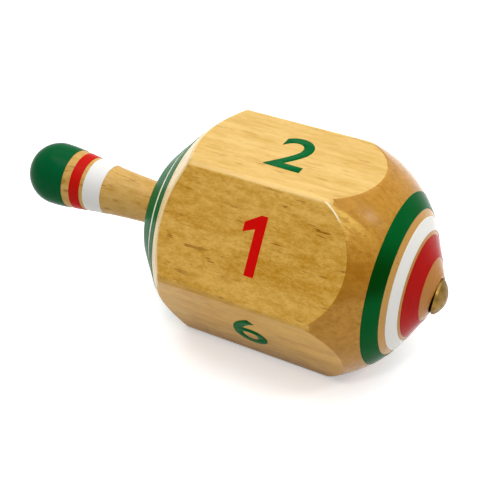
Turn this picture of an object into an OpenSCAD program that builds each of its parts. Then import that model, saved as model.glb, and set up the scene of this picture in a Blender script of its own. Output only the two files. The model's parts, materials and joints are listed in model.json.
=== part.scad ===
// Teetotum: a six-sided wooden spinning top lying on one of its flats.
// The spin axis runs along X, with the nose and its brass tack at +X and the handle at -X.

/* [Hexagonal body] */
// Distance between two opposite flats
across_flats = 56; // [48:0.5:68]
// Length of each flat along its middle line
flat_len = 53; // [38:0.5:70]
// Depth taken off the hexagon's corners at the shoulder end
corner_ease_back = 0.5; // [0.1:0.05:1.5]
// Depth taken off the hexagon's corners at the nose end
corner_ease_front = 0.15; // [0.1:0.05:1.5]
// How far off the spin axis the six flats were cut
flats_offset = 0.9; // [0:0.05:1.5]
// Which way round the flats are off, from straight down towards the far side
flats_offset_turn = 150; // [-180:5:180]

/* [Nose] */
// Length from the front of the flats to the tip
nose_len = 17; // [14:0.5:22]
// Angle between the tip's cone and the spin axis
nose_angle = 62; // [59:0.5:70]
// Width of the small flat at the tip that the tack is driven into
tip_flat_d = 8.6; // [5:0.2:11]

/* [Shoulder] */
// Angle between the shoulder's cone and the spin axis
shoulder_angle = 48; // [42:1:60]
// Radius of the round between the shoulder's cone and its end face
shoulder_round_r = 14; // [6:0.5:18]
// Width of the end face that the stem stands on
end_face_d = 17.8; // [15:0.2:24]

/* [Stem] */
// Length of the stem from the body's end face to the knob's end
stem_len = 46.4; // [34:0.2:64]
// Width of the knob
knob_d = 18.3; // [17:0.1:22]
// Radius of the knob's bowed side, between its ball end and the neck
knob_side_r = 44; // [24:1:60]
// Steepest slope of the neck, where the bowed side turns into the hollow
neck_slope = 8.2; // [6:0.1:10]
// Radius of the neck's hollow curve
neck_hollow_r = 270; // [220:5:500]
// Width of the tenon that is glued into the body
tenon_d = 9; // [6:0.25:10]
// Length of the tenon
tenon_len = 20; // [12:0.5:26]

/* [Tip tack] */
// Width of the tack's domed head
tack_head_d = 9.8; // [7:0.1:11]
// Height of the head from its underside to the top of its dome
tack_head_h = 3; // [1.5:0.1:4]
// Height of the straight rim below the dome
tack_rim_h = 0.7; // [0.2:0.1:1]
// Width of the tack's shank
tack_shank_d = 2.2; // [1.4:0.1:3]
// Length of the shank with its point
tack_shank_len = 14; // [8:0.5:20]
// Length of the shank's point
tack_point_len = 5; // [2:0.5:6]
// Depth to which the head is bedded in the tip
tack_seat_depth = 0.5; // [0.1:0.05:0.8]
// How far off the spin axis the tack was driven by hand
tack_offset = 1.35; // [0:0.05:2]
// Which way round the tack is off, from straight down towards the far side
tack_offset_turn = -20; // [-180:5:180]
// How far the tack leans from the spin axis
tack_lean = 8; // [0:1:12]
// Which way round the tack leans, from straight down towards the far side
tack_lean_turn = 53; // [-180:1:180]

/* [Painted bands] */
// Thickness of a coat of paint
coat = 0.12; // [0.08:0.02:0.3]
// Outer width of the green band on the nose
nose_green_outer_d = 47.8; // [44:0.2:52]
// Width of the nose's green band, square to the spin axis
nose_green_w = 3.7; // [2:0.05:4.5]
// Bare wood between the nose's green and white bands, square to the spin axis
nose_white_gap = 1.85; // [0.5:0.05:2.5]
// Width of the nose's white band, square to the spin axis
nose_white_w = 3.25; // [1.5:0.05:4]
// Bare wood between the nose's white and red bands, square to the spin axis
nose_red_gap = 1; // [0.5:0.05:2]
// Width of the nose's red band, square to the spin axis
nose_red_w = 5.25; // [3:0.05:6]
// Outer width of the outer green band on the shoulder
shoulder_outer_band_d = 52; // [48:0.2:53]
// Width of the shoulder's outer green band, square to the spin axis
shoulder_outer_band_w = 2.75; // [1.5:0.05:4]
// Bare wood between the shoulder's two green bands, square to the spin axis
shoulder_band_gap = 1.3; // [0.5:0.05:2.5]
// Width of the shoulder's inner green band, square to the spin axis
shoulder_inner_band_w = 9.15; // [4:0.05:10]
// Length of the green paint on the knob, from its end
knob_paint_len = 15.2; // [10:0.1:17]
// Bare wood between the knob's paint and the red band on the stem
stem_red_gap = 2.5; // [1:0.1:4]
// Length of the red band on the stem
stem_red_len = 3.2; // [2:0.1:4]
// Bare wood between the red and the white bands on the stem
stem_white_gap = 1.2; // [0.5:0.1:3]
// Length of the white band on the stem
stem_white_len = 5.5; // [3:0.1:9]

/* [Fits] */
// Room for glue around the tenon
glue_gap = 0.1; // [0.05:0.01:0.2]
// Room for glue below the tenon's end
socket_gap = 1; // [0.5:0.1:2]
// Room around the tack's shank
shank_gap = 0.05; // [0.02:0.01:0.1]
// Room around the tack's head where it is bedded
head_gap = 0.2; // [0.1:0.05:0.5]

/* [Hidden] */

turned_fn = 180;
wide_arc_fn = 1440;
sides = 6;
// Neighbouring turned stretches of the stem overlap by this much, so that they join
lap = 0.05;

wood_colour = [0.80, 0.60, 0.32];
stem_colour = [0.74, 0.52, 0.25];
brass_colour = [0.62, 0.50, 0.27];
green_paint = [0.02, 0.36, 0.16];
white_paint = [0.93, 0.93, 0.90];
red_paint = [0.74, 0.07, 0.09];

// Sizes across the hexagon. The spin axis is Z until the top is laid down, and the flats start at z = 0.
flat_r = across_flats / 2;
corner_r = flat_r / cos(180 / sides);
back_corner_r = corner_r - corner_ease_back;
front_corner_r = corner_r - corner_ease_front;
flats_x = flats_offset * cos(flats_offset_turn);
flats_y = flats_offset * sin(flats_offset_turn);

// Nose: a ball that meets the front of the flats.
// A cone leaves the ball smoothly and ends in the tip's flat.
tip_r = tip_flat_d / 2;
tip_z = flat_len + nose_len;
cone_rise = nose_len + tip_r / tan(nose_angle);
flat_rise = flat_r / tan(nose_angle);
ball_root = sqrt(pow(cone_rise, 2) - pow(flat_rise, 2));
ball_r = (cone_rise / sin(nose_angle) - ball_root) * pow(tan(nose_angle), 2);
ball_z = flat_len - sqrt(pow(ball_r, 2) - pow(flat_r, 2));
blank_r = min(corner_r + flats_offset, ball_r);
blank_front_z = ball_z + sqrt(pow(ball_r, 2) - pow(blank_r, 2));

// Shoulder: a cone that meets the back of the flats, rounded over to the end face.
end_face_r = end_face_d / 2;
round_out = end_face_r + shoulder_round_r * cos(shoulder_angle);
round_z = shoulder_round_r * sin(shoulder_angle) - (flat_r - round_out) / tan(shoulder_angle);
end_z = round_z - shoulder_round_r;
blank_back_z = (blank_r - flat_r) / tan(shoulder_angle);

// Stem: a ball end, and a bowed side that starts at the ball's widest place.
// A hollow neck runs from the bowed side down to the end face.
knob_r = knob_d / 2;
knob_end_z = end_z - stem_len;
knob_z = knob_end_z + knob_r;
hollow_centre_r = knob_r - knob_side_r + (knob_side_r + neck_hollow_r) * cos(neck_slope);
hollow_centre_z = knob_z + (knob_side_r + neck_hollow_r) * sin(neck_slope);

// Tack: its dome stands on a straight rim.
tack_head_r = tack_head_d / 2;
tack_shank_r = tack_shank_d / 2;
dome_h = tack_head_h - tack_rim_h;
dome_r = (pow(tack_head_r, 2) + pow(dome_h, 2)) / (2 * dome_h);
tack_z = tip_z - tack_seat_depth;
tack_top_z = tack_z + (tack_head_h - dome_r) * cos(tack_lean) + dome_r;

// Painted bands: each one starts where the bare wood after the one before it ends.
nose_white_outer_d = nose_green_outer_d - 2 * (nose_green_w + nose_white_gap);
nose_red_outer_d = nose_white_outer_d - 2 * (nose_white_w + nose_red_gap);
shoulder_inner_band_d = shoulder_outer_band_d - 2 * (shoulder_outer_band_w + shoulder_band_gap);
stem_red_start = knob_paint_len + stem_red_gap;
stem_white_start = stem_red_start + stem_red_len + stem_white_gap;

// The whole top, from the painted knob to the top of the tack's dome, is centred on the origin.
whole_len = tack_top_z - knob_end_z + coat;
middle_z = (tack_top_z + knob_end_z - coat) / 2;

// Lays the standing top down on a flat: local Z becomes the spin axis along X, and local X points down.
module lay() {
    translate([-middle_z, -flats_y, flat_r + flats_x]) rotate([0, 90, 0]) children();
}

// Half outline of the turned body, grown outwards by a coat's thickness.
module body_outline(grow) {
    round_r = shoulder_round_r + grow;
    cone_r = end_face_r + round_r * cos(shoulder_angle);
    cone_z = round_z - round_r * sin(shoulder_angle);
    turn_r = (ball_r + grow) * cos(nose_angle);
    turn_z = ball_z + (ball_r + grow) * sin(nose_angle);
    intersection() {
        translate([end_face_r, round_z]) circle(round_r, $fn = turned_fn);
        translate([end_face_r, end_z - grow]) square([cone_r - end_face_r, cone_z - end_z + grow]);
    }
    polygon([
        [0, end_z - grow],
        [end_face_r, end_z - grow],
        [cone_r, cone_z],
        [blank_r + grow * cos(shoulder_angle), blank_back_z - grow * sin(shoulder_angle)],
        [blank_r, blank_front_z],
        [0, turn_z]
    ]);
    intersection() {
        translate([0, ball_z]) circle(ball_r + grow, $fn = turned_fn);
        translate([0, blank_front_z]) square([2 * ball_r, turn_z - blank_front_z]);
    }
    polygon([
        [0, ball_z],
        [turn_r, turn_z],
        [tip_r + grow * cos(nose_angle), tip_z + grow * sin(nose_angle)],
        [0, tip_z + grow * sin(nose_angle)]
    ]);
}

// Half outline of the turned stem above the tenon, grown outwards by a coat's thickness.
module stem_outline(grow) {
    side_r = knob_side_r + grow;
    neck_z = knob_z + side_r * sin(neck_slope);
    intersection() {
        translate([0, knob_z]) circle(knob_r + grow, $fn = turned_fn);
        translate([0, knob_z - knob_d]) square([knob_d, knob_d]);
    }
    intersection() {
        translate([knob_r - knob_side_r, knob_z]) circle(side_r, $fn = wide_arc_fn);
        translate([0, knob_z - lap]) square([knob_d, neck_z - knob_z + lap]);
    }
    difference() {
        translate([0, neck_z - lap]) square([knob_d, end_z - neck_z + lap]);
        translate([hollow_centre_r, hollow_centre_z]) circle(neck_hollow_r - grow, $fn = wide_arc_fn);
    }
}

// Six flats, as a prism along the whole body with its corners eased.
module six_flats() {
    front_z = knob_end_z + whole_len;
    translate([flats_x, flats_y, 0]) intersection() {
        translate([0, 0, knob_end_z]) rotate(180 / sides) cylinder(r = corner_r, h = whole_len, $fn = sides);
        rotate_extrude($fn = turned_fn) polygon([
            [0, knob_end_z],
            [back_corner_r, knob_end_z],
            [back_corner_r, 0],
            [front_corner_r, flat_len],
            [front_corner_r, front_z],
            [0, front_z]
        ]);
    }
}

// Places its children at the tack: z = 0 is the underside of the head.
module at_tack() {
    translate([tack_offset * cos(tack_offset_turn), tack_offset * sin(tack_offset_turn), tack_z])
        rotate([0, 0, tack_lean_turn])
        rotate([0, tack_lean, 0])
        children();
}

// Shank and point of the tack, with room around it for the hole.
module shank(room) {
    rotate_extrude($fn = turned_fn) polygon([
        [0, 0],
        [tack_shank_r + room, 0],
        [tack_shank_r + room, tack_point_len - tack_shank_len],
        [0, -tack_shank_len - room]
    ]);
}

module body() {
    color(wood_colour) lay() difference() {
        intersection() {
            rotate_extrude($fn = turned_fn) body_outline(0);
            six_flats();
        }
        translate([0, 0, end_z - socket_gap])
            cylinder(d = tenon_d + 2 * glue_gap, h = tenon_len + 2 * socket_gap, $fn = turned_fn);
        at_tack() shank(shank_gap);
        at_tack() cylinder(r = tack_head_r + head_gap, h = tack_head_d, $fn = turned_fn);
    }
}

module stem() {
    color(stem_colour) lay() {
        rotate_extrude($fn = turned_fn) stem_outline(0);
        translate([0, 0, end_z]) cylinder(d = tenon_d, h = tenon_len, $fn = turned_fn);
    }
}

module tip_tack() {
    color(brass_colour) lay() at_tack() {
        rotate_extrude($fn = turned_fn) {
            square([tack_head_r, tack_rim_h]);
            intersection() {
                translate([0, tack_head_h - dome_r]) circle(dome_r, $fn = turned_fn);
                translate([0, tack_rim_h]) square([tack_head_r, dome_h]);
            }
        }
        shank(0);
    }
}

// A painted band on the nose or on the shoulder, trimmed where the flats begin.
module body_band(outer_d, w, from_z) {
    lay() intersection() {
        rotate_extrude($fn = turned_fn) difference() {
            intersection() {
                body_outline(coat);
                translate([outer_d / 2 - w, from_z]) square([w, whole_len]);
            }
            body_outline(0);
        }
        six_flats();
    }
}

module nose_band(outer_d, w) {
    body_band(outer_d, w, flat_len / 2);
}

module shoulder_band(outer_d, w) {
    body_band(outer_d, w, flat_len / 2 - whole_len);
}

// A painted band on the stem, from a place measured from the knob's end.
module stem_band(start, len) {
    lay() rotate_extrude($fn = turned_fn) difference() {
        intersection() {
            stem_outline(coat);
            translate([0, knob_end_z + start]) square([knob_d, len]);
        }
        stem_outline(0);
    }
}

module knob_green_paint() {
    color(green_paint) stem_band(-coat, knob_paint_len + coat);
}

module stem_red_band() {
    color(red_paint) stem_band(stem_red_start, stem_red_len);
}

module stem_white_band() {
    color(white_paint) stem_band(stem_white_start, stem_white_len);
}

module shoulder_inner_green_band() {
    color(green_paint) shoulder_band(shoulder_inner_band_d, shoulder_inner_band_w);
}

module shoulder_outer_green_band() {
    color(green_paint) shoulder_band(shoulder_outer_band_d, shoulder_outer_band_w);
}

module nose_green_band() {
    color(green_paint) nose_band(nose_green_outer_d, nose_green_w);
}

module nose_white_band() {
    color(white_paint) nose_band(nose_white_outer_d, nose_white_w);
}

module nose_red_band() {
    color(red_paint) nose_band(nose_red_outer_d, nose_red_w);
}

body();
stem();
tip_tack();
knob_green_paint();
stem_red_band();
stem_white_band();
shoulder_inner_green_band();
shoulder_outer_green_band();
nose_green_band();
nose_white_band();
nose_red_band();
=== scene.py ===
import json
import math

import bmesh
import bpy
from mathutils import Matrix, Vector


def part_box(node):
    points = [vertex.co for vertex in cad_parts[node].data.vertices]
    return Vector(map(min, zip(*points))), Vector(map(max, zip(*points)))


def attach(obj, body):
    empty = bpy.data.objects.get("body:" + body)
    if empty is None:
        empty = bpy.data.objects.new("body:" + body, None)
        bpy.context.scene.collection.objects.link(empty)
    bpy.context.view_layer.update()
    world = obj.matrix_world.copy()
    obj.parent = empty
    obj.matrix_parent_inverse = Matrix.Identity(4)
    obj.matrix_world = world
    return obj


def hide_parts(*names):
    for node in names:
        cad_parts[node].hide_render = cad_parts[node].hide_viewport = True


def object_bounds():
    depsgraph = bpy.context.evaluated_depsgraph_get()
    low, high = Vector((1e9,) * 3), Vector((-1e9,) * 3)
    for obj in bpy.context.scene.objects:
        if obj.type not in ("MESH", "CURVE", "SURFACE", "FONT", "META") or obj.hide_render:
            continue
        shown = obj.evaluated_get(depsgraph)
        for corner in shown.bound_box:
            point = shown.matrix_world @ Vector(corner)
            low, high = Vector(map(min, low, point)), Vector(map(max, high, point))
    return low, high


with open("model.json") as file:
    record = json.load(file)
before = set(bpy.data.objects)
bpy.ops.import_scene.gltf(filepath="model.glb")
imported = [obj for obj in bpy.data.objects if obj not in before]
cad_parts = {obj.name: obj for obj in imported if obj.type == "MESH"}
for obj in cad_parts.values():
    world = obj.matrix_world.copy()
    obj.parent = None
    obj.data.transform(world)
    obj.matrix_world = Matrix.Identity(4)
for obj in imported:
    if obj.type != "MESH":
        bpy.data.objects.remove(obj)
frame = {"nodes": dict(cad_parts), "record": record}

cad_low, cad_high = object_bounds()

# Sizes, in metres and radians
MM = 0.001
FULL_TURN = 2 * math.pi
SIDES = 6
SIDE_TURN = FULL_TURN / SIDES
RESTING_FLAT = frame["record"]["mounts"][0]
FLAT_MIDDLE_X = RESTING_FLAT["pos_m"][0]
BODY_LOW, BODY_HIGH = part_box("body")
AXIS_Z = (BODY_LOW.z + BODY_HIGH.z) / 2
FLAT_R = (BODY_HIGH.z - BODY_LOW.z) / 2
CORNER_R = FLAT_R / math.cos(SIDE_TURN / 2)
STEM_LOW, STEM_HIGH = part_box("stem")
SPIN_Y = (STEM_LOW.y + STEM_HIGH.y) / 2
SPIN_Z = (STEM_LOW.z + STEM_HIGH.z) / 2
FLATS_SLIP = Vector((-SPIN_Y, AXIS_Z - SPIN_Z))
TACK_LOW, TACK_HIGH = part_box("tip_tack")
TACK_MIDDLE = (TACK_LOW + TACK_HIGH) / 2
TACK_R = (TACK_HIGH.y - TACK_LOW.y) / 2
TACK_ROOM = 0.1 * MM
MERGE_GAP = 0.0001 * MM

# The body's outline, as the part's source has it
FLAT_LENGTH = 53 * MM
NOSE_LENGTH = 17 * MM
NOSE_ANGLE = math.radians(62)
TIP_R = 4.3 * MM
SHOULDER_ANGLE = math.radians(48)
SHOULDER_ROUND_R = 14 * MM
END_FACE_R = 8.9 * MM
BACK_CORNER_EASE = 0.5 * MM
FRONT_CORNER_EASE = 0.15 * MM
SOCKET_R = 4.6 * MM
SOCKET_DEPTH = 21 * MM
TIP_X = BODY_HIGH.x
FRONT_X = TIP_X - NOSE_LENGTH
BACK_X = FRONT_X - FLAT_LENGTH
CONE_RISE = NOSE_LENGTH + TIP_R / math.tan(NOSE_ANGLE)
BALL_ROOT = math.sqrt(CONE_RISE ** 2 - (FLAT_R / math.tan(NOSE_ANGLE)) ** 2)
BALL_R = (CONE_RISE / math.sin(NOSE_ANGLE) - BALL_ROOT) * math.tan(NOSE_ANGLE) ** 2
BALL_X = FRONT_X - math.sqrt(BALL_R ** 2 - FLAT_R ** 2)

# How far the edges of the flats are rounded over, and how finely the body is divided
FRONT_EDGE_EASE = 0.35 * MM
BACK_EDGE_EASE = 0.8 * MM
CORNER_EASE = 0.06 * MM
EDGE_REACH = 1.0 * MM
LEAST_SLANT = 0.1
COLUMNS_PER_FLAT = 48
COLUMN_CROWDING = 0.85
ROUND_ROWS = 14
SHOULDER_ROWS = 14
EDGE_ROWS = 12
FLAT_ROWS = 18
NOSE_ROWS = 34
CONE_ROWS = 10
SMOOTH_ANGLE = math.radians(25)

# Numerals: the digits go round the flats, from the top towards the far side
NUMERALS = "234561"
NUMERAL_HEIGHT = 16 * MM
NUMERAL_BOLDNESS = 0.012
NUMERAL_FINENESS = 10
NUMERAL_MERGE_GAP = 0.0001
INK_THICKNESS = 0.04 * MM
PLAIN_ONE = [(0, 0), (0.17, 0), (0.17, 1), (0.06, 1), (-0.2, 0.83), (-0.2, 0.67), (0, 0.76)]

# Camera, as the photograph was taken
CAMERA_TURN = math.radians(27.65)
CAMERA_RISE = math.radians(35.03)
CAMERA_ROLL = math.radians(0.8)
CAMERA_DISTANCE = 330.15 * MM
CAMERA_AIM = Vector((4.02 * MM, 0, AXIS_Z))
CAMERA_DROP = 3.87 * MM
CAMERA_LENS = 88.56
SENSOR_WIDTH = 36
CLIP_START = 10 * MM

# Studio
FLOOR_HALF_WIDTH = 4.0
FLOOR_GAP = 0.05 * MM
ROOM_FAR_WEIGHT = 0.9
ROOM_UP_WEIGHT = 0.4
ROOM_FADE_START, ROOM_FADE_END = -0.2, 0.6

# Grain, as noise drawn out along the wood: length and width in millimetres,
# and the noise's values that count as 0 and as 1
BROAD_GRAIN = (45, 7, 0.3, 0.7)
STREAK_GRAIN = (16, 1.6, 0.3, 0.7)
FIBRE_GRAIN = (5, 0.36, 0.3, 0.7)
FLECK_GRAIN = (0.9, 0.45, 0.3, 0.7)
MOTTLE_GRAIN = (3.0, 1.2, 0.35, 0.65)
CLOUD_GRAIN = (9, 3.2, 0.38, 0.66)
FIGURE_GRAIN = (12, 1.6, 0.5, 0.64)
PORE_CROWD_GRAIN = (30, 6, 0.3, 0.6)
FINE_PORE_GRAIN = (3.0, 0.34, 0.6, 0.74)
COARSE_PORE_GRAIN = (8.0, 0.9, 0.625, 0.68)
STEM_PORE_GRAIN = (6.0, 2.2, 0.6, 0.68)
BODY_GRAIN_SHIFT = (3, 1, 7)
STEM_GRAIN_SHIFT = (40, 12, 3)

# The size of the other finishes' noise along each axis, in millimetres
ENAMEL_CLOUD = (4, 4, 4)
INK_GRAIN = (3, 0.4, 0.4)
BRASS_FILM = (1.6, 1.6, 1.6)
BRASS_SCRATCHES = (0.9, 0.12, 0.9)

# Planes along the flats' axis that part the wood's colours and its painted highlight, reflection and shade:
# degrees from facing the near side to facing down, and a reach from the axis in millimetres
NEAR_CORNER = (30, 0)
UNDERSIDE = (90, 0)
UPPER_CORNERS_END = (90, -8)
# Painted shade under the stem
STEM_UNDERSIDE = (90, 4)
# Painted reflection: where the light wedge on the nose runs
WEDGE_START = (12, 10.0)
WEDGE_END = (77, -16.5)
# Painted shade: where the darker patch on the nose runs
SHADE_LEAN = 56
WOOD_SHADE_REACH = -2.75
PAINT_SHADE_REACH = -6.0
SHADE_END = (90, -7.4)

# Places along the body, and depths below its edges, where the wood's colour and its painted highlight,
# reflection and shade change, in millimetres
FRONT = FRONT_X / MM
BACK = BACK_X / MM
TIP = TIP_X / MM
BALL_STAIN_END = (FRONT + 8.0, FRONT + 6.0)
WEDGE_FADE = (FRONT + 7.0, FRONT - 5.0)
TIP_STAIN = (TIP - 7.0, TIP - 4.0)
# Painted shade around the tack's head
TIP_TACK_SHADE = (TIP - 4.0, TIP - 3.0)
TACK_SHADE_R = (TACK_R / MM + 0.15, TACK_R / MM - 0.1)
# Painted reflection on the shoulder beside the flats
SHOULDER_REFLECTION_SPAN = (BACK + 7.0, BACK + 2.0)
SHOULDER_LINE_LOW = (BACK - 5.7, BACK - 5.6)
SHOULDER_LINE_HIGH = (BACK - 4.0, BACK - 4.1)
FLAT_SKIN = (0.04, 0.01)
CORNER_SKIN = (0.75, 0.65)
# Painted highlight along the upper corners, and painted glint on the near flat's front edge
CORNER_HIGHLIGHT_DEPTHS = (0.55, 0.32)
EDGE_GLINT_DEPTHS = (0.22, 0.08)
EDGE_GLINT_END = (2.4, 1.3)

# Heights of the relief, in millimetres, and pitches of the lathe's rings
WOOD_RELIEF = 0.03
ENAMEL_RELIEF = 0.012
INK_RELIEF = 0.01
BRASS_RELIEF = 0.01
WOOD_RING_PITCH = 0.6
ENAMEL_RING_PITCH = 0.45
RING_LENGTH = 400

# Colours, in linear light
WOOD_PALE = (0.71, 0.468, 0.153, 1)
WOOD_HONEY = (0.55, 0.325, 0.06, 1)
UNDER_PALE = (0.67, 0.38, 0.05, 1)
UNDER_HONEY = (0.49, 0.225, 0.001, 1)
# Painted highlight on the upper corners
PAINTED_CORNER_HIGHLIGHT = (0.83, 0.55, 0.19, 1)
# The near flat's colours, darkened in part with painted shade
NEAR_FLAT_SHADED_PALE = (0.755, 0.455, 0.103, 1)
NEAR_FLAT_SHADED_BROWN = (0.45, 0.203, 0.001, 1)
# Painted reflection in the light wedge on the nose
TURNED_PAINTED_REFLECTION = (0.78, 0.475, 0.09, 1)
TURNED_MID = (0.53, 0.258, 0.029, 1)
# Deep turned wood, for the wood's figure and for the painted shade on the nose
TURNED_DEEP = (0.385, 0.152, 0.001, 1)
TURNED_RING = (0.51, 0.265, 0.06, 1)
TURNED_TIP = (0.42, 0.165, 0.022, 1)
# Painted reflection on the shoulder
SHOULDER_PAINTED_REFLECTION = (0.80, 0.60, 0.30, 1)
SHOULDER_CREAM = (0.90, 0.86, 0.60, 1)
# Painted glint on the near flat's front edge
PAINTED_EDGE_GLINT = (0.95, 0.84, 0.55, 1)
WOOD_PORE = (0.26, 0.095, 0.002, 1)
# Painted shade around the tack's head
PAINTED_TACK_SHADE = (0.012, 0.007, 0.004, 1)
STEM_LIGHT = (0.63, 0.392, 0.118, 1)
# Deeper stem wood, for its figure and for the painted shade below
STEM_DEEP = (0.44, 0.225, 0.025, 1)
INK_GREEN = (0.0, 0.115, 0.024, 1)
INK_RED = (0.62, 0.003, 0.002, 1)
GREEN = (0.0, 0.085, 0.022, 1)
NOSE_GREEN = (0.0, 0.088, 0.014, 1)
# Nose green in the painted shade
GREEN_IN_SHADE = (0.0, 0.042, 0.002, 1)
SHOULDER_GREEN = (0.0, 0.12, 0.03, 1)
GREEN_THIN = (0.001, 0.115, 0.034, 1)
RED = (0.50, 0.008, 0.004, 1)
NOSE_RED = (0.39, 0.003, 0.001, 1)
RED_THIN = (0.56, 0.014, 0.008, 1)
WHITE = (0.78, 0.775, 0.755, 1)
WHITE_THIN = (0.75, 0.74, 0.715, 1)
NOSE_WHITE = (0.75, 0.735, 0.69, 1)
BRASS = (0.245, 0.147, 0.037, 1)
BRASS_DULL = (0.15, 0.086, 0.021, 1)
WHITE_LIGHT = (1, 1, 1, 1)
NO_LIGHT = (0, 0, 0, 1)
FLOOR_WHITE = (0.9, 0.9, 0.9, 1)
FLOOR_LIFT = (0.425, 0.435, 0.45, 1)
ROOM_NEAR = (0.03, 0.03, 0.03, 1)
ROOM_FAR = (0.8, 0.8, 0.8, 1)


class Value:
    """A socket's value that takes part in sums: each operator adds the Math node that it needs."""

    def __init__(self, finish, socket):
        self.finish = finish
        self.socket = socket

    def math(self, operation, first, second=0.0):
        return self.finish.add("ShaderNodeMath", {"operation": operation}, {0: first, 1: second})

    def __add__(self, other):
        return self.math("ADD", self, other)

    def __radd__(self, other):
        return self.math("ADD", other, self)

    def __sub__(self, other):
        return self.math("SUBTRACT", self, other)

    def __rsub__(self, other):
        return self.math("SUBTRACT", other, self)

    def __mul__(self, other):
        return self.math("MULTIPLY", self, other)

    def __rmul__(self, other):
        return self.math("MULTIPLY", other, self)

    def __abs__(self):
        return self.math("ABSOLUTE", self)

    def larger(self, other):
        return self.math("MAXIMUM", self, other)

    def step(self, start, end):
        """Goes smoothly from 0 at start to 1 at end."""
        return self.finish.add(
            "ShaderNodeMapRange",
            {"interpolation_type": "SMOOTHSTEP"},
            {"Value": self, "From Min": start, "From Max": end},
        )


class Finish:
    """A material, or the world, whose nodes are added and linked one call at a time."""

    def __init__(self, owner):
        self.owner = owner
        owner.use_nodes = True
        self.tree = owner.node_tree
        self.tree.nodes.clear()

    def add(self, kind, settings=None, inputs=None, output=0):
        node = self.tree.nodes.new(kind)
        for name, setting in (settings or {}).items():
            setattr(node, name, setting)
        for name, value in (inputs or {}).items():
            if isinstance(value, Value):
                self.tree.links.new(value.socket, node.inputs[name])
            else:
                node.inputs[name].default_value = value
        return Value(self, node.outputs[output]) if node.outputs else None

    def place(self, stretch=(1, 1, 1), shift=(0, 0, 0)):
        """The place on the object in millimetres, squeezed along each axis by its stretch."""
        here = self.add("ShaderNodeTexCoord", output="Object")
        scale = [1 / (MM * s) for s in stretch]
        return self.add("ShaderNodeMapping", {}, {"Vector": here, "Location": shift, "Scale": scale})

    def along(self, vector, axis):
        return self.add("ShaderNodeSeparateXYZ", {}, {"Vector": vector}, output=axis)

    def noise(self, vector, detail=2.0, roughness=0.5):
        return self.add(
            "ShaderNodeTexNoise",
            {"noise_dimensions": "3D"},
            {"Vector": vector, "Scale": 1.0, "Detail": detail, "Roughness": roughness},
        )

    def grain(self, kind, shift):
        """One of the kinds of grain listed above, from 0 to 1."""
        length, width, low, high = kind
        return self.noise(self.place((length, width, width), shift), roughness=0.6).step(low, high)

    def blend(self, under, over, share):
        return self.add("ShaderNodeMix", {"data_type": "RGBA"}, {0: share, 6: under, 7: over}, output=2)

    def bump(self, height, depth):
        """Raises the surface by height, which runs from 0 to 1, times depth in millimetres."""
        return self.add("ShaderNodeBump", {}, {"Height": height, "Strength": 1.0, "Distance": depth * MM})

    def surface(self, shader):
        self.add("ShaderNodeOutputMaterial", {}, {"Surface": shader})
        return self.owner


def turned_lines(finish, pitch):
    """Fine rings left by the lathe, as a height from 0 to 1."""
    return finish.noise(finish.place((pitch, RING_LENGTH, RING_LENGTH)), detail=3.0, roughness=0.6)


def past(finish, plane):
    """Millimetres beyond a plane, given as a lean and a reach like those listed above."""
    lean, reach = plane
    lean = math.radians(lean)
    here = finish.place()
    near = 0 - finish.along(here, "Y")
    height = finish.along(here, "Z") - AXIS_Z / MM
    return near * math.cos(lean) - height * math.sin(lean) - reach


def cornerness(finish, depths):
    """1 along the six corners between the flats: it fades between two depths below the sharp corner."""
    start, end = depths
    here = finish.add("ShaderNodeTexCoord", output="Object")
    side = finish.along(here, "Y")
    height = finish.along(here, "Z") - AXIS_Z
    return (height * height + side * side).step((CORNER_R - start * MM) ** 2, (CORNER_R - end * MM) ** 2)


def flat_reach(finish):
    """How far out from the flats' axis the wood reaches, towards the flat that it is nearest to."""
    here = finish.add("ShaderNodeTexCoord", output="Object")
    side = finish.along(here, "Y")
    height = finish.along(here, "Z") - AXIS_Z
    reach = abs(height)
    for facing in (SIDE_TURN, 2 * SIDE_TURN):
        reach = reach.larger(abs(height * math.cos(facing) + side * math.sin(facing)))
    return reach


def flatness(finish):
    """1 on the six flats and 0 on the turned ends."""
    start, end = FLAT_SKIN
    flat = flat_reach(finish).step(FLAT_R - start * MM, FLAT_R - end * MM)
    return flat.larger(cornerness(finish, CORNER_SKIN))


def upper_half(finish):
    """1 at the two uppermost corners and 0 at the others."""
    return past(finish, UPPER_CORNERS_END).step(1.0, -1.0)


def painted_front_edge_glint(finish):
    """Painted glint: 1 along the edge where the near flat runs out into the nose, close to its upper corner.
    """
    start, end = EDGE_GLINT_DEPTHS
    here = finish.place()
    ahead = finish.along(here, "X") - BALL_X / MM
    side = finish.along(here, "Y") - SPIN_Y / MM
    height = finish.along(here, "Z") - SPIN_Z / MM
    squared = ahead * ahead + side * side + height * height
    near_ball = squared.step((BALL_R / MM - start) ** 2, (BALL_R / MM - end) ** 2)
    near_flat = flat_reach(finish).step(FLAT_R - start * MM, FLAT_R - end * MM)
    near_corner = cornerness(finish, EDGE_GLINT_END) * upper_half(finish)
    near_side = past(finish, NEAR_CORNER).step(-0.2, 0.3)
    return near_ball * near_flat * near_corner * near_side * ahead.step(0.0, 2.0)


def nose_shade(finish, reach, ragged, blur):
    """Painted shade: the darker patch on the near side of the nose; reach and ragged say where its upper
    edge runs.
    """
    below_top = (past(finish, (SHADE_LEAN, reach)) + ragged).step(-2 * blur, 2 * blur)
    return below_top * (past(finish, SHADE_END) + ragged).step(blur, -blur)


def pores(finish, shift):
    """Short ragged dashes along the grain, from 0 to 1: many faint ones and a few dark ones."""
    crowd = finish.grain(PORE_CROWD_GRAIN, shift)
    fine = finish.grain(FINE_PORE_GRAIN, shift) * 0.3
    coarse = finish.grain(COARSE_PORE_GRAIN, shift) * crowd
    return fine.larger(coarse)


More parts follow.
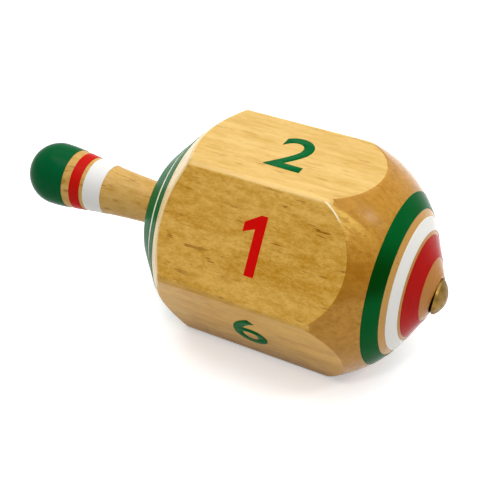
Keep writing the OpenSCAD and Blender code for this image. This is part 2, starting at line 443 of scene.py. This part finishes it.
def coat(finish, colour, roughness, relief, depth, gloss):
    """A finished surface whose relief, from 0 to 1, is a depth in millimetres high."""
    return finish.surface(finish.add("ShaderNodeBsdfPrincipled", {}, {
        "Base Color": colour,
        "Roughness": roughness,
        "Normal": finish.bump(relief, depth),
        "Specular IOR Level": gloss,
    }))


def body_wood(name, shift):
    """Close-grained golden wood: streaked on the flats and browner where turned; its colour also holds
    painted highlights, painted reflections and painted shade, among them the dark shade around the tack.
    """
    finish = Finish(bpy.data.materials.new(name))
    here = finish.place()
    along = finish.along(here, "X")
    flat = flatness(finish)
    broad = finish.grain(BROAD_GRAIN, shift)
    streak = finish.grain(STREAK_GRAIN, shift)
    fibre = finish.grain(FIBRE_GRAIN, shift)
    fleck = finish.grain(FLECK_GRAIN, shift)
    mottle = finish.grain(MOTTLE_GRAIN, shift)
    cloud = finish.grain(CLOUD_GRAIN, shift)

    # The near flat has open grain and is darkened with painted shade, and the lower flats are deeper in
    # colour
    open_grain_and_shade = past(finish, NEAR_CORNER).step(0.3, 1.0) * past(finish, UNDERSIDE).step(1.0, -1.0)
    under = past(finish, UNDERSIDE).step(-1.0, 1.0)
    tone = broad * 0.45 + cloud * 0.3 + streak * 0.25 + fibre * 0.2 + mottle * 0.2 - 0.25
    stain = fleck * 0.33 + mottle * 0.27 + cloud * 0.25 + broad * 0.28 - 0.1
    # Painted highlight: the two upper corners are coloured paler where light catches them
    painted_highlight = cornerness(finish, CORNER_HIGHLIGHT_DEPTHS) * upper_half(finish)
    flats = finish.blend(WOOD_PALE, WOOD_HONEY, tone)
    flats = finish.blend(flats, finish.blend(UNDER_PALE, UNDER_HONEY, tone), under)
    flats = finish.blend(flats, finish.blend(NEAR_FLAT_SHADED_PALE, NEAR_FLAT_SHADED_BROWN, stain), open_grain_and_shade)
    flats = finish.blend(flats, PAINTED_CORNER_HIGHLIGHT, painted_highlight * 0.8)

    # The nose has a painted reflection, a light wedge beside the near flat, and painted shade, a darker
    # patch below it
    ragged = (cloud - 0.4) * 1.5
    wedge = (past(finish, WEDGE_START) + ragged * 0.3).step(-0.3, 0.4)
    wedge = wedge * (past(finish, WEDGE_END) + ragged).step(2.0, -2.0) * along.step(*WEDGE_FADE)
    shade = nose_shade(finish, WOOD_SHADE_REACH, ragged, blur=1.0) * (0.75 + 0.25 * cloud)
    turned = finish.blend(TURNED_MID, TURNED_PAINTED_REFLECTION, wedge)
    turned = finish.blend(turned, TURNED_DEEP, shade)
    turned = finish.blend(turned, TURNED_DEEP, finish.grain(FIGURE_GRAIN, shift) * 0.45)
    turned = finish.blend(turned, WOOD_PORE, mottle * 0.2 + cloud * 0.15 + fleck * 0.15)
    turned = finish.blend(TURNED_RING, turned, along.step(*BALL_STAIN_END))
    turned = finish.blend(turned, TURNED_TIP, along.step(*TIP_STAIN))
    # Painted reflection: the shoulder beside the flats is coloured pale
    turned = finish.blend(turned, SHOULDER_PAINTED_REFLECTION, along.step(*SHOULDER_REFLECTION_SPAN))
    shoulder_line = along.step(*SHOULDER_LINE_LOW) * along.step(*SHOULDER_LINE_HIGH)
    turned = finish.blend(turned, SHOULDER_CREAM, shoulder_line)

    dashes = pores(finish, shift) * (0.55 + 0.45 * open_grain_and_shade) * (0.6 + 0.4 * flat)
    # Painted shade: a dark ring around the tack's head, in the gap beneath it
    off_y = finish.along(here, "Y") - TACK_MIDDLE.y / MM
    off_z = finish.along(here, "Z") - TACK_MIDDLE.z / MM
    tack_shade = (off_y * off_y + off_z * off_z).step(*[radius ** 2 for radius in TACK_SHADE_R])
    colour = finish.blend(turned, flats, flat)
    # Painted glint along the near flat's front edge, by its upper corner
    colour = finish.blend(colour, PAINTED_EDGE_GLINT, painted_front_edge_glint(finish))
    colour = finish.blend(colour, WOOD_PORE, dashes * 0.9)
    colour = finish.blend(colour, PAINTED_TACK_SHADE, tack_shade * along.step(*TIP_TACK_SHADE))

    relief = fibre * 0.1 + turned_lines(finish, WOOD_RING_PITCH) * (1 - flat) * 3.5
    return coat(finish, colour, 0.16 + mottle * 0.03 + flat * 0.14, relief, WOOD_RELIEF, gloss=0.15)


def stem_wood(name, shift):
    """The stem's wood, turned all round and a little darker, with painted shade making it darkest below."""
    finish = Finish(bpy.data.materials.new(name))
    streak = finish.grain(STREAK_GRAIN, shift)
    fibre = finish.grain(FIBRE_GRAIN, shift)
    mottle = finish.grain(MOTTLE_GRAIN, shift)
    # Painted shade: the stem's underside is coloured darker
    under = past(finish, STEM_UNDERSIDE).step(-3.0, 3.0)
    dashes = pores(finish, shift).larger(finish.grain(STEM_PORE_GRAIN, shift) * 0.7)
    tone = streak * 0.3 + fibre * 0.15 + mottle * 0.3 + under * 0.4
    colour = finish.blend(STEM_LIGHT, STEM_DEEP, tone)
    colour = finish.blend(colour, WOOD_PORE, dashes * 0.7)
    relief = fibre * 0.1 + turned_lines(finish, WOOD_RING_PITCH) * 1.5
    return coat(finish, colour, 0.3 + mottle * 0.06, relief, WOOD_RELIEF, gloss=0.13)


def enamel(name, full, thin, deep, roughness, gloss):
    """Enamel brushed on while the top turned on the lathe; its third colour is the one it takes in the
    painted shade on the nose's darker patch.
    """
    finish = Finish(bpy.data.materials.new(name))
    brushed = turned_lines(finish, ENAMEL_RING_PITCH)
    cloud = finish.noise(finish.place(ENAMEL_CLOUD))
    thinned = brushed.step(0.45, 0.75) * 0.3 + cloud.step(0.4, 0.8) * 0.25
    # Painted shade on the nose's darker patch
    shade = nose_shade(finish, PAINT_SHADE_REACH, ragged=0, blur=2.5)
    colour = finish.blend(finish.blend(full, thin, thinned), deep, shade)
    relief = brushed * 0.6 + cloud * 0.4
    return coat(finish, colour, roughness + cloud * 0.06, relief, ENAMEL_RELIEF, gloss)


def stamped_ink(name, full, thin):
    """Thin ink pressed onto the flats, a little rubbed away where the grain stands proud."""
    finish = Finish(bpy.data.materials.new(name))
    grain = finish.noise(finish.place(INK_GRAIN), detail=3.0, roughness=0.6)
    colour = finish.blend(full, thin, grain.step(0.45, 0.8) * 0.5)
    return coat(finish, colour, 0.4 + grain * 0.15, grain, INK_RELIEF, gloss=0.03)


def worn_brass(name):
    """Dull brass with a tarnished film and fine scratches."""
    finish = Finish(bpy.data.materials.new(name))
    film = finish.noise(finish.place(BRASS_FILM), detail=4.0, roughness=0.6)
    scratches = finish.noise(finish.place(BRASS_SCRATCHES), detail=3.0, roughness=0.7)
    return finish.surface(finish.add("ShaderNodeBsdfPrincipled", {}, {
        "Base Color": finish.blend(BRASS, BRASS_DULL, film.step(0.35, 0.7)),
        "Metallic": 1.0,
        "Roughness": 0.32 + film * 0.25,
        "Normal": finish.bump(scratches, BRASS_RELIEF),
    }))


def spread(start, end, count):
    """Even places from start up to, but without, end."""
    return [start + (end - start) * step / count for step in range(count)]


def smooth_min(first, second, ease):
    """The smaller of two lengths, with the corner where they cross rounded over."""
    near = max(ease - abs(first - second), 0) / ease
    return min(first, second) - near * near * ease / 4


def across_spin(turn, reach):
    """A point beside the spin axis at a turn from straight up towards the far side, as y and z."""
    return Vector((math.sin(turn), math.cos(turn))) * reach


def flat_limit(turn):
    """How far from the spin axis the flats let the wood reach at a turn."""
    limits = []
    for side in range(SIDES):
        facing = side * SIDE_TURN
        slant = math.cos(turn - facing)
        if slant > LEAST_SLANT:
            limits.append((FLAT_R + FLATS_SLIP.dot(across_spin(facing, 1))) / slant)
    return min(limits)


def corner_limit(turn, corner_r):
    """How far from the spin axis the eased corners of the flats let the wood reach at a turn."""
    along = FLATS_SLIP.dot(across_spin(turn, 1))
    return along + math.sqrt(corner_r ** 2 - FLATS_SLIP.length_squared + along ** 2)


def corner_turn(corner):
    """The turn at which a corner of the flats is seen from the spin axis; corner 0 is before flat 0."""
    place = FLATS_SLIP + across_spin((corner - 0.5) * SIDE_TURN, CORNER_R)
    return math.atan2(place.x, place.y) % FULL_TURN


def body_outline(turn):
    """Half outline of the body at a turn: x and radius, from the socket to the tip."""
    cone_x = BALL_X + BALL_R * math.sin(NOSE_ANGLE)
    cone_r = BALL_R * math.cos(NOSE_ANGLE)

    slope = math.tan(SHOULDER_ANGLE)
    round_reach = math.pi / 2 - SHOULDER_ANGLE
    round_out = END_FACE_R + SHOULDER_ROUND_R * math.sin(round_reach)
    round_x = BACK_X + SHOULDER_ROUND_R * math.cos(round_reach) - (FLAT_R - round_out) / slope
    end_x = round_x - SHOULDER_ROUND_R
    round_end_x = round_x - SHOULDER_ROUND_R * math.cos(round_reach)

    flat_r = flat_limit(turn)
    back_corner_r = corner_limit(turn, CORNER_R - BACK_CORNER_EASE)
    front_corner_r = corner_limit(turn, CORNER_R - FRONT_CORNER_EASE)
    back_edge = BACK_X + (min(flat_r, back_corner_r) - FLAT_R) / slope
    front_edge = BALL_X + math.sqrt(BALL_R ** 2 - min(flat_r, front_corner_r) ** 2)

    def eased_r(x):
        corner = back_corner_r + (front_corner_r - back_corner_r) * (x - BACK_X) / FLAT_LENGTH
        shoulder = FLAT_R + (x - BACK_X) * slope
        nose = math.sqrt(BALL_R ** 2 - max(x - BALL_X, 0) ** 2)
        faceted = smooth_min(corner, flat_r, CORNER_EASE)
        return smooth_min(smooth_min(shoulder, faceted, BACK_EDGE_EASE), nose, FRONT_EDGE_EASE)

    socket = [(end_x + SOCKET_DEPTH, 0), (end_x + SOCKET_DEPTH, SOCKET_R), (end_x, SOCKET_R)]
    rounded = [
        (round_x - SHOULDER_ROUND_R * math.cos(angle), END_FACE_R + SHOULDER_ROUND_R * math.sin(angle))
        for angle in spread(0, round_reach, ROUND_ROWS)
    ]
    eased = spread(round_end_x, back_edge - EDGE_REACH, SHOULDER_ROWS)
    eased += spread(back_edge - EDGE_REACH, back_edge + EDGE_REACH, EDGE_ROWS)
    eased += spread(back_edge + EDGE_REACH, front_edge - EDGE_REACH, FLAT_ROWS)
    eased += spread(front_edge - EDGE_REACH, front_edge + EDGE_REACH, EDGE_ROWS)
    eased += spread(front_edge + EDGE_REACH, cone_x, NOSE_ROWS)
    cone = list(zip(spread(cone_x, TIP_X, CONE_ROWS), spread(cone_r, TIP_R, CONE_ROWS)))
    tip = [(TIP_X, TIP_R), (TIP_X, 0)]
    return socket + rounded + [(x, eased_r(x)) for x in eased] + cone + tip


def kept_mesh(shape, name):
    """Makes a mesh of a bmesh that is finished with."""
    mesh = bpy.data.meshes.new(name)
    shape.to_mesh(mesh)
    shape.free()
    return mesh


def put(name, data):
    """Puts a new object into the scene."""
    thing = bpy.data.objects.new(name, data)
    bpy.context.scene.collection.objects.link(thing)
    return thing


def worked_out(draft):
    """The mesh of a draft object, with its letters or modifiers worked out."""
    shapes = bpy.context.evaluated_depsgraph_get()
    return bpy.data.meshes.new_from_object(draft.evaluated_get(shapes))


def body_blank():
    """The turned body with its six flats, before the tack's hole is made."""
    columns = SIDES * COLUMNS_PER_FLAT
    turns = []
    for column in range(columns):
        flat, place = divmod(column, COLUMNS_PER_FLAT)
        share = 2 * place / COLUMNS_PER_FLAT - 1
        crowded = (1 + share + COLUMN_CROWDING * math.sin(math.pi * share) / math.pi) / 2
        first = corner_turn(flat)
        turns.append(first + crowded * ((corner_turn(flat + 1) - first) % FULL_TURN))
    outlines = [body_outline(turn) for turn in turns]

    shape = bmesh.new()
    chain = [shape.verts.new((row, 0, 1)) for row in range(len(outlines[0]))]
    links = [shape.edges.new(pair) for pair in zip(chain, chain[1:])]
    bmesh.ops.spin(
        shape, geom=chain + links, axis=(1, 0, 0), cent=(0, 0, 0),
        angle=FULL_TURN, steps=columns, use_merge=True)
    for vert in shape.verts:
        column = round(math.atan2(vert.co.y, vert.co.z) / FULL_TURN * columns) % columns
        x, radius = outlines[column][round(vert.co.x)]
        place = across_spin(turns[column], radius)
        vert.co = (x, SPIN_Y + place.x, SPIN_Z + place.y)
    bmesh.ops.remove_doubles(shape, verts=shape.verts, dist=MERGE_GAP)
    bmesh.ops.recalc_face_normals(shape, faces=shape.faces)
    return kept_mesh(shape, "blank")


def tack_room():
    """The tack, grown by the room around it."""
    room = bmesh.new()
    room.from_mesh(frame["nodes"]["tip_tack"].data)
    bmesh.ops.remove_doubles(room, verts=room.verts, dist=MERGE_GAP)
    room.normal_update()
    for vert in room.verts:
        vert.co += vert.normal * TACK_ROOM
    return kept_mesh(room, "tack_room")


def turned_body(wood):
    """The turned body with its six flats, all their edges rounded over, and the tack's hole in its tip."""
    blank = put("blank", body_blank())
    cutter = put("tack_room", tack_room())
    hole = blank.modifiers.new("tack_hole", "BOOLEAN")
    hole.operation = "DIFFERENCE"
    hole.object = cutter
    mesh = worked_out(blank)
    for draft in (blank, cutter):
        bpy.data.objects.remove(draft)

    mesh.materials.clear()
    mesh.materials.append(wood)
    mesh.shade_smooth()
    mesh.set_sharp_from_angle(angle=SMOOTH_ANGLE)
    piece = put("turned_body", mesh)
    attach(piece, "root")
    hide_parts("body")


def dress(node, material):
    """Gives a CAD node its finish."""
    slots = frame["nodes"][node].data.materials
    slots.clear()
    slots.append(material)


def plain_one():
    """The outline of a one with a flag, a unit high."""
    shape = bmesh.new()
    shape.faces.new([shape.verts.new((x, y, 0)) for x, y in PLAIN_ONE])
    return kept_mesh(shape, "plain_one")


def plain_digit(digit):
    """The outline of a digit from the built-in letters, a little bolder than they are."""
    letters = bpy.data.curves.new("digit", "FONT")
    letters.body = digit
    letters.offset = NUMERAL_BOLDNESS
    letters.fill_mode = "FRONT"
    letters.resolution_u = NUMERAL_FINENESS
    draft = put("digit", letters)
    mesh = worked_out(draft)
    bpy.data.objects.remove(draft)
    return mesh


def numeral(name, digit, flat, ink):
    """A digit printed on a flat; flat counts from the top towards the far side."""
    mesh = plain_one() if digit == "1" else plain_digit(digit)
    across = [v.co.x for v in mesh.vertices]
    upright = [v.co.y for v in mesh.vertices]
    grow = NUMERAL_HEIGHT / (max(upright) - min(upright))
    middle = Vector((min(across) + max(across), min(upright) + max(upright), 0)) / 2
    sized = Matrix.Scale(grow, 4) @ Matrix.Translation(-middle)
    lift = Matrix.Translation((FLAT_MIDDLE_X, 0, FLAT_R))
    turn = Matrix.Rotation(-flat * SIDE_TURN, 4, "X")
    place = Matrix.Translation((0, 0, AXIS_Z)) @ turn @ lift @ sized

    shape = bmesh.new()
    shape.from_mesh(mesh)
    bmesh.ops.remove_doubles(shape, verts=shape.verts, dist=NUMERAL_MERGE_GAP)
    bmesh.ops.recalc_face_normals(shape, faces=shape.faces)
    thick = bmesh.ops.extrude_face_region(shape, geom=shape.faces[:])
    lifted = [part for part in thick["geom"] if isinstance(part, bmesh.types.BMVert)]
    bmesh.ops.translate(shape, verts=lifted, vec=(0, 0, INK_THICKNESS / grow))
    bmesh.ops.transform(shape, matrix=place, verts=shape.verts)
    bmesh.ops.recalc_face_normals(shape, faces=shape.faces)
    printed = kept_mesh(shape, name)
    printed.materials.append(ink)
    piece = put(name, printed)
    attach(piece, "root")


def direction(turn, rise):
    """Points from the object to where something stands at a turn from the near side and a rise."""
    level = math.cos(rise)
    return Vector((math.sin(turn) * level, -math.cos(turn) * level, math.sin(rise)))


def camera():
    """Looks at the top as the photograph does."""
    back = direction(CAMERA_TURN, CAMERA_RISE)
    level = Vector((math.cos(CAMERA_TURN), math.sin(CAMERA_TURN), 0))
    upright = back.cross(level)
    right = level * math.cos(CAMERA_ROLL) + upright * math.sin(CAMERA_ROLL)
    up = upright * math.cos(CAMERA_ROLL) - level * math.sin(CAMERA_ROLL)
    place = CAMERA_AIM - up * CAMERA_DROP + back * CAMERA_DISTANCE
    lens = bpy.data.cameras.new("camera")
    lens.lens = CAMERA_LENS
    lens.sensor_width = SENSOR_WIDTH
    lens.clip_start = CLIP_START
    stand = put("camera", lens)
    columns = Matrix((right, up, back)).transposed().to_4x4()
    stand.matrix_world = Matrix.Translation(place) @ columns
    bpy.context.scene.camera = stand


def softbox(name, turn, rise, distance, width, power):
    """A square lamp that looks at the body from a turn and a rise, in degrees."""
    lamp = bpy.data.lights.new(name, "AREA")
    lamp.size = width
    lamp.energy = power
    back = direction(math.radians(turn), math.radians(rise))
    place = Vector((FLAT_MIDDLE_X, 0, AXIS_Z)) + back * distance
    facing = back.to_track_quat("Z", "Y").to_matrix().to_4x4()
    put(name, lamp).matrix_world = Matrix.Translation(place) @ facing


def shown(finish):
    """1 for what the eye sees, straight or mirrored in a gloss, and 0 for light that falls on the object."""
    seen = finish.add("ShaderNodeLightPath", output="Is Camera Ray")
    for ray in ("Is Glossy Ray", "Is Transmission Ray"):
        seen = seen.larger(finish.add("ShaderNodeLightPath", output=ray))
    return seen


def white_room():
    """White to the eye; the light on the object comes from the far side, and the near side is dark."""
    world = bpy.data.worlds.new("white_room")
    bpy.context.scene.world = world
    finish = Finish(world)
    outward = finish.add("ShaderNodeTexCoord", output="Generated")
    far = finish.along(outward, "Y") * ROOM_FAR_WEIGHT + finish.along(outward, "Z") * ROOM_UP_WEIGHT
    room = finish.blend(ROOM_NEAR, ROOM_FAR, far.step(ROOM_FADE_START, ROOM_FADE_END))
    seen = finish.blend(room, WHITE_LIGHT, shown(finish))
    light = finish.add("ShaderNodeBackground", {}, {"Color": seen})
    finish.add("ShaderNodeOutputWorld", {}, {"Surface": light})


def floor():
    """A wide pale floor under the top, a little lighter to the eye."""
    finish = Finish(bpy.data.materials.new("floor_white"))
    paper = finish.add("ShaderNodeBsdfDiffuse", {}, {"Color": FLOOR_WHITE})
    lift = finish.blend(NO_LIGHT, FLOOR_LIFT, shown(finish))
    glow = finish.add("ShaderNodeEmission", {}, {"Color": lift})
    shape = bmesh.new()
    bmesh.ops.create_grid(shape, size=FLOOR_HALF_WIDTH)
    bmesh.ops.translate(shape, verts=shape.verts, vec=(0, 0, cad_low.z - FLOOR_GAP))
    mesh = kept_mesh(shape, "floor")
    mesh.materials.append(finish.surface(finish.add("ShaderNodeAddShader", {}, {0: paper, 1: glow})))
    put("floor", mesh)


body_finish = body_wood("body_wood", BODY_GRAIN_SHIFT)
stem_finish = stem_wood("stem_wood", STEM_GRAIN_SHIFT)
shoulder_green = enamel(
    "shoulder_green", SHOULDER_GREEN, GREEN_THIN, SHOULDER_GREEN, roughness=0.2, gloss=0.01)
body_green = enamel("body_green", NOSE_GREEN, GREEN_THIN, GREEN_IN_SHADE, roughness=0.12, gloss=0.018)
body_white = enamel("body_white", NOSE_WHITE, WHITE_THIN, NOSE_WHITE, roughness=0.12, gloss=0.04)
body_red = enamel("body_red", NOSE_RED, RED, NOSE_RED, roughness=0.12, gloss=0.035)
stem_green = enamel("stem_green", GREEN, GREEN_THIN, GREEN, roughness=0.1, gloss=0.025)
stem_white = enamel("stem_white", WHITE_THIN, WHITE, WHITE, roughness=0.25, gloss=0.03)
stem_red = enamel("stem_red", RED, RED_THIN, RED, roughness=0.25, gloss=0.025)
green_ink = stamped_ink("green_ink", INK_GREEN, GREEN_THIN)
red_ink = stamped_ink("red_ink", INK_RED, RED_THIN)
brass = worn_brass("brass")

dress("body", body_finish)
turned_body(body_finish)
dress("stem", stem_finish)
dress("tip_tack", brass)
dress("knob_green_paint", stem_green)
dress("stem_red_band", stem_red)
dress("stem_white_band", stem_white)
dress("shoulder_inner_green_band", shoulder_green)
dress("shoulder_outer_green_band", shoulder_green)
dress("nose_green_band", body_green)
dress("nose_white_band", body_white)
dress("nose_red_band", body_red)

for flat, digit in enumerate(NUMERALS):
    odd = int(digit) % 2
    ink, slot = (red_ink, "red_paint") if odd else (green_ink, "green_paint")
    numeral("numeral_" + digit, digit, flat, ink)

camera()
white_room()
floor()
softbox("over_softbox", turn=195, rise=85, distance=0.8, width=1.2, power=5.8)
softbox("left_softbox", turn=-71, rise=66, distance=0.8, width=0.3, power=1.0)
softbox("near_softbox", turn=16, rise=57, distance=0.7, width=0.085, power=0.8)
softbox("right_softbox", turn=104, rise=43, distance=0.7, width=0.11, power=0.6)
bpy.context.scene.view_settings.view_transform = "Standard"
